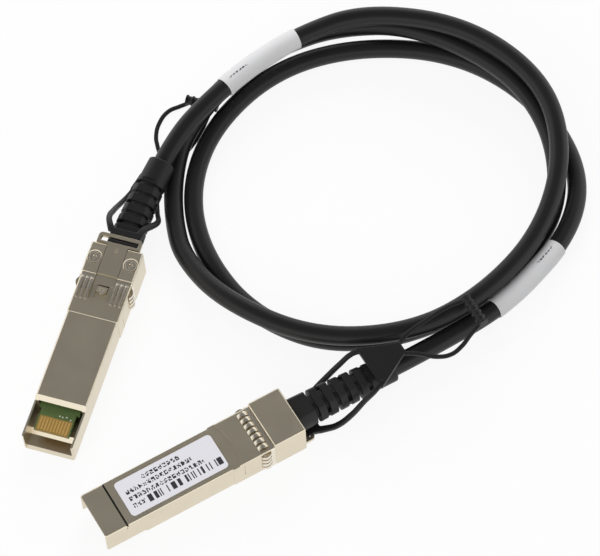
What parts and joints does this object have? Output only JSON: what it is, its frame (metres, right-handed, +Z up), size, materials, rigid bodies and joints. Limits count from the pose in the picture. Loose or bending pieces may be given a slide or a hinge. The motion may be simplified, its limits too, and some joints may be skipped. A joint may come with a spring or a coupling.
{
  "type": "direct_attach_copper_cable",
  "caption": "Direct attach copper cable: a black round cable in loose turns between two pluggable metal plugs, each with a black boot, a pull tab and a sliding latch.",
  "frame": {"origin": "on the floor, in the middle of the box round the two plugs, which leaves out the cable and its sleeves", "axes": "+Z up from the floor; +X along plug B from its nose towards the cable; +Y to the far side, away from the picture's viewer"},
  "size_m": [0.1657, 0.1099, 0.0161],
  "materials": {
    "shell_metal": "nickel-plated die-cast zinc, satin, warm grey",
    "finger_metal": "thin nickel-plated spring sheet, satin",
    "screw_metal": "nickel-plated steel",
    "latch_metal": "nickel-plated die-cast zinc, satin",
    "spring_metal": "bright spring steel",
    "clamp_metal": "crimped brass",
    "card_green": "glass-fibre circuit board, satin green",
    "contact_gold": "gold-plated copper",
    "part_black": "moulded chip bodies",
    "core_blue": "insulated cores",
    "jacket_black": "smooth black jacket, soft sheen",
    "boot_black": "moulded black rubber, satin",
    "tab_black": "moulded black rubber, satin",
    "label_white": "white label stock, satin",
    "sleeve_white": "light grey-white film sleeve"
  },
  "bodies": {
    "cable_assembly": {"base_shell_a": "shell_metal", "base_shell_b": "shell_metal", "cover_shell_a": "shell_metal", "cover_shell_b": "shell_metal", "finger_collar_a": "finger_metal", "finger_collar_b": "finger_metal", "screws_a": "screw_metal", "screws_b": "screw_metal", "circuit_card_a": "card_green", "circuit_card_b": "card_green", "contacts_a": "contact_gold", "contacts_b": "contact_gold", "card_parts_a": "part_black", "card_parts_b": "part_black", "core_wires_a": "core_blue", "core_wires_b": "core_blue", "clamp_ring_a": "clamp_metal", "clamp_ring_b": "clamp_metal", "jacket_tail_a": "jacket_black", "jacket_tail_b": "jacket_black", "strain_boot_a": "boot_black", "strain_boot_b": "boot_black", "label_plate_a": "label_white", "label_plate_b": "label_white", "return_springs_a": "spring_metal", "return_springs_b": "spring_metal", "cable_jacket": "jacket_black", "marker_sleeve_a": "sleeve_white", "marker_sleeve_b": "sleeve_white"},
    "latch_a": {"latch_slider_a": "latch_metal", "pull_tab_a": "tab_black"},
    "latch_b": {"latch_slider_b": "latch_metal", "pull_tab_b": "tab_black"}
  },
  "joints": [
    {"name": "latch_a_pull", "type": "slide", "parent": "cable_assembly", "child": "latch_a", "axis": [0.7332, 0.6789, 0.0384], "range_m": [0, 0.0025], "stiffness_N_per_m": 1200, "deforming": ["return_springs_a"]},
    {"name": "latch_b_pull", "type": "slide", "parent": "cable_assembly", "child": "latch_b", "axis": [1, 0, 0], "range_m": [0, 0.0025], "stiffness_N_per_m": 1200, "deforming": ["return_springs_b"]}
  ]
}
